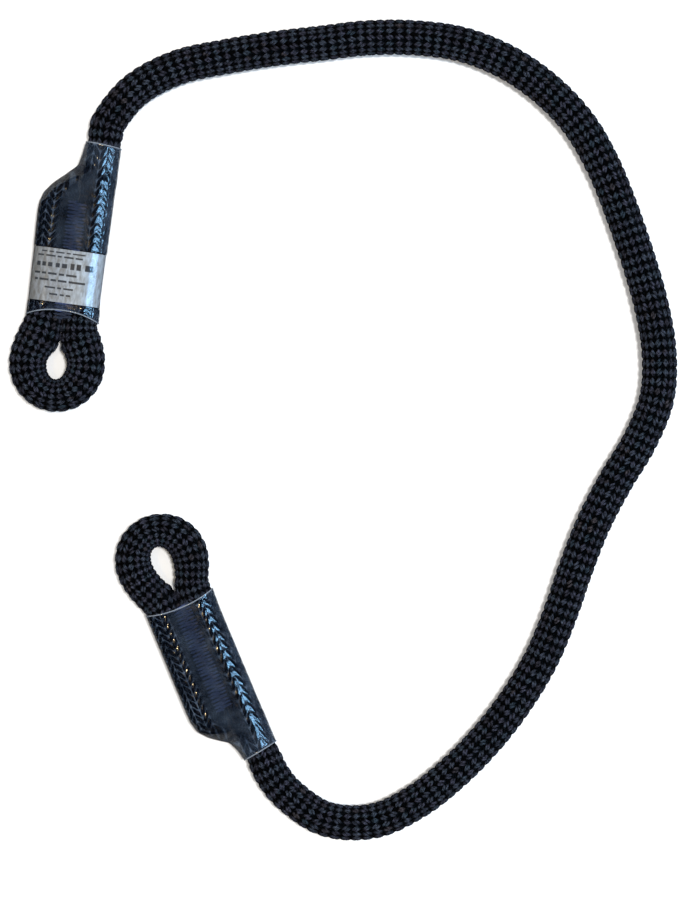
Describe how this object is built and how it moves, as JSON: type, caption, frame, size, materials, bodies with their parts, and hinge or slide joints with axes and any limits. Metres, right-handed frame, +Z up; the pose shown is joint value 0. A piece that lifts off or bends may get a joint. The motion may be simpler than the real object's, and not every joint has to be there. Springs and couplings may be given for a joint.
{
  "type": "rope lanyard",
  "caption": "Black double-braid rope lanyard for tree work, with a sewn eye at each end and a clear shrunk sleeve over each seam, laid in a loose open loop.",
  "frame": {"origin": "middle of the lanyard's outline, on the surface it lies on", "axes": "+Z up from the surface, +Y across the loop's longer extent towards the bend beside the labelled end, +X towards the loop's closed side"},
  "size_m": [0.3332, 0.4107, 0.0194],
  "materials": {
    "braided_cover": "black braided polyester with a faint sheen",
    "braided_core": "undyed braided fibre",
    "sewing_thread": "dark navy bonded thread",
    "melted_rope_end": "melted fibre",
    "clear_sleeve": "clear glossy film",
    "label_film": "satin grey printed film"
  },
  "bodies": {
    "span_1": {"rope_cover_1": "braided_cover", "rope_core_1": "braided_core"},
    "span_2": {"rope_cover_2": "braided_cover", "rope_core_2": "braided_core"},
    "span_3": {"rope_cover_3": "braided_cover", "rope_core_3": "braided_core"},
    "span_4": {"rope_cover_4": "braided_cover", "rope_core_4": "braided_core"},
    "span_5": {"rope_cover_5": "braided_cover", "rope_core_5": "braided_core"},
    "labelled_end": {"labelled_end_cover": "braided_cover", "labelled_end_core": "braided_core", "labelled_end_tail_seal": "melted_rope_end", "labelled_end_stitching_top": "sewing_thread", "labelled_end_stitching_bottom": "sewing_thread", "labelled_end_sleeve": "clear_sleeve", "label": "label_film"},
    "plain_end": {"plain_end_cover": "braided_cover", "plain_end_core": "braided_core", "plain_end_tail_seal": "melted_rope_end", "plain_end_stitching_top": "sewing_thread", "plain_end_stitching_bottom": "sewing_thread", "plain_end_sleeve": "clear_sleeve"}
  },
  "joints": [
    {"name": "bend_labelled_end", "type": "hinge", "parent": "span_1", "child": "labelled_end", "pos_m": [-0.11849, 0.15224, 0.00971], "axis": [0, 0, 1], "range_deg": [-35, 35]},
    {"name": "bend_1_2", "type": "hinge", "parent": "span_2", "child": "span_1", "pos_m": [0.01524, 0.19627, 0.0089], "axis": [0, 0, 1], "range_deg": [-40, 40]},
    {"name": "bend_2_3", "type": "hinge", "parent": "span_3", "child": "span_2", "pos_m": [0.1323, 0.12644, 0.0089], "axis": [0, 0, 1], "range_deg": [-40, 8]},
    {"name": "bend_3_4", "type": "hinge", "parent": "span_3", "child": "span_4", "pos_m": [0.14346, -0.01333, 0.0089], "axis": [0, 0, 1], "range_deg": [-40, 40]},
    {"name": "bend_4_5", "type": "hinge", "parent": "span_4", "child": "span_5", "pos_m": [0.07944, -0.14446, 0.0089], "axis": [0, 0, 1], "range_deg": [-40, 40]},
    {"name": "bend_plain_end", "type": "hinge", "parent": "span_5", "child": "plain_end", "pos_m": [-0.03751, -0.16919, 0.00971], "axis": [0, 0, 1], "range_deg": [-35, 35]}
  ]
}
